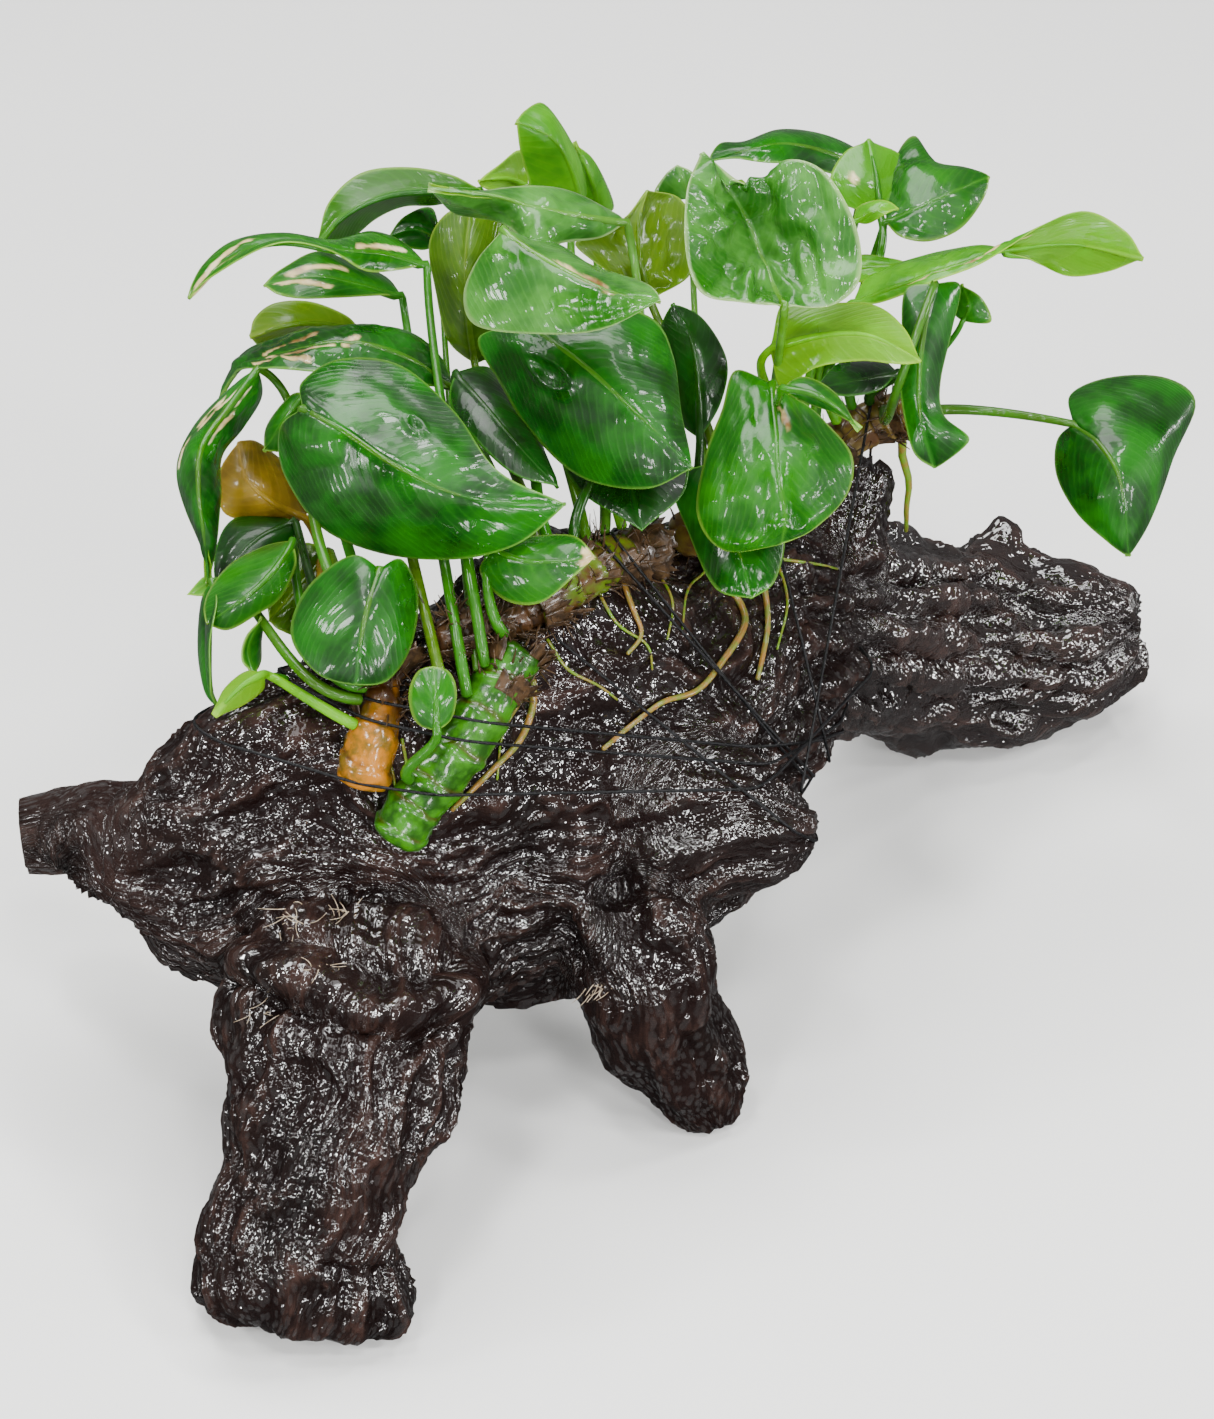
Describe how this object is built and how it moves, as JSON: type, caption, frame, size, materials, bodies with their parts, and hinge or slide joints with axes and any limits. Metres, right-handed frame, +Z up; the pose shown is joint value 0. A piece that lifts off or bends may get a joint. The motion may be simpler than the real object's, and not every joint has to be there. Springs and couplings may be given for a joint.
{
  "type": "anubias plant on driftwood",
  "caption": "Low aquarium plant with broad glossy leaves on arching stalks, its creeping rhizomes tied with dark thread to a forked piece of driftwood that stands on its own legs.",
  "frame": {"origin": "on the surface that the driftwood stands on, below the middle of the whole plant's box", "axes": "+Z up, +X to the right of an onlooker in front, along the driftwood; +Y away from the onlooker"},
  "size_m": [0.231, 0.2092, 0.158],
  "materials": {
    "wood": "wet dark driftwood, furrowed along the grain, glossy with water",
    "worn_wood": "smoother lighter brown driftwood with a sawn end",
    "rhizome": "green ringed creeping stem, waxy",
    "old_rhizome": "old orange-brown creeping stem, waxy",
    "leaf": "deep green waxy blade, wet and glossy, with fine side veins",
    "leaf_underside": "yellow-green underside of a blade, satin",
    "old_leaf": "ochre and olive ageing blade, glossy",
    "root": "tan and green roots, satin",
    "thread": "black braided thread"
  },
  "bodies": {
    "root": {"leaf_arch_left": "leaf_underside", "leaf_arch_mid_left": "leaf", "leaf_back_arch": "leaf", "leaf_big_centre": "leaf", "leaf_big_left": "leaf", "leaf_bright_front": "leaf", "leaf_bright_top": "leaf_underside", "leaf_crumpled": "leaf", "leaf_dark_centre": "leaf", "leaf_dark_left": "leaf", "leaf_dark_right": "leaf", "leaf_edge_hanging": "leaf", "leaf_far_left": "leaf", "leaf_folded_centre": "leaf", "leaf_folded_low": "leaf_underside", "leaf_folded_top": "leaf", "leaf_front_right": "leaf", "leaf_glossy_back": "leaf", "leaf_hanging_left": "leaf", "leaf_heart_right": "leaf", "leaf_light_back": "leaf_underside", "leaf_long_right": "leaf", "leaf_low_left": "leaf", "leaf_lower_left": "leaf", "leaf_old_olive": "old_leaf", "leaf_old_yellow": "old_leaf", "leaf_round": "leaf", "leaf_round_underside": "leaf_underside", "leaf_tall_top": "leaf", "leaf_tiny": "leaf", "leaf_under_front": "leaf", "leaf_under_left": "leaf_underside", "leaf_underside_right": "leaf_underside", "leaf_vertical_right": "leaf", "leaf_wavy_underside": "leaf_underside", "rhizome_front": "rhizome", "rhizome_old": "old_rhizome", "rhizome_ridge": "rhizome", "rhizome_right": "rhizome", "root_front": "root", "root_long": "root", "root_ridge": "root", "root_right": "root", "root_short": "root", "thread_low": "thread", "thread_mid": "thread", "thread_neck": "thread", "wood_back_stub": "wood", "wood_body": "wood", "wood_front_left_leg": "wood", "wood_front_right_leg": "wood", "wood_left_arm": "worn_wood", "wood_rear_leg": "wood", "wood_right_trunk": "wood"}
  },
  "joints": []
}
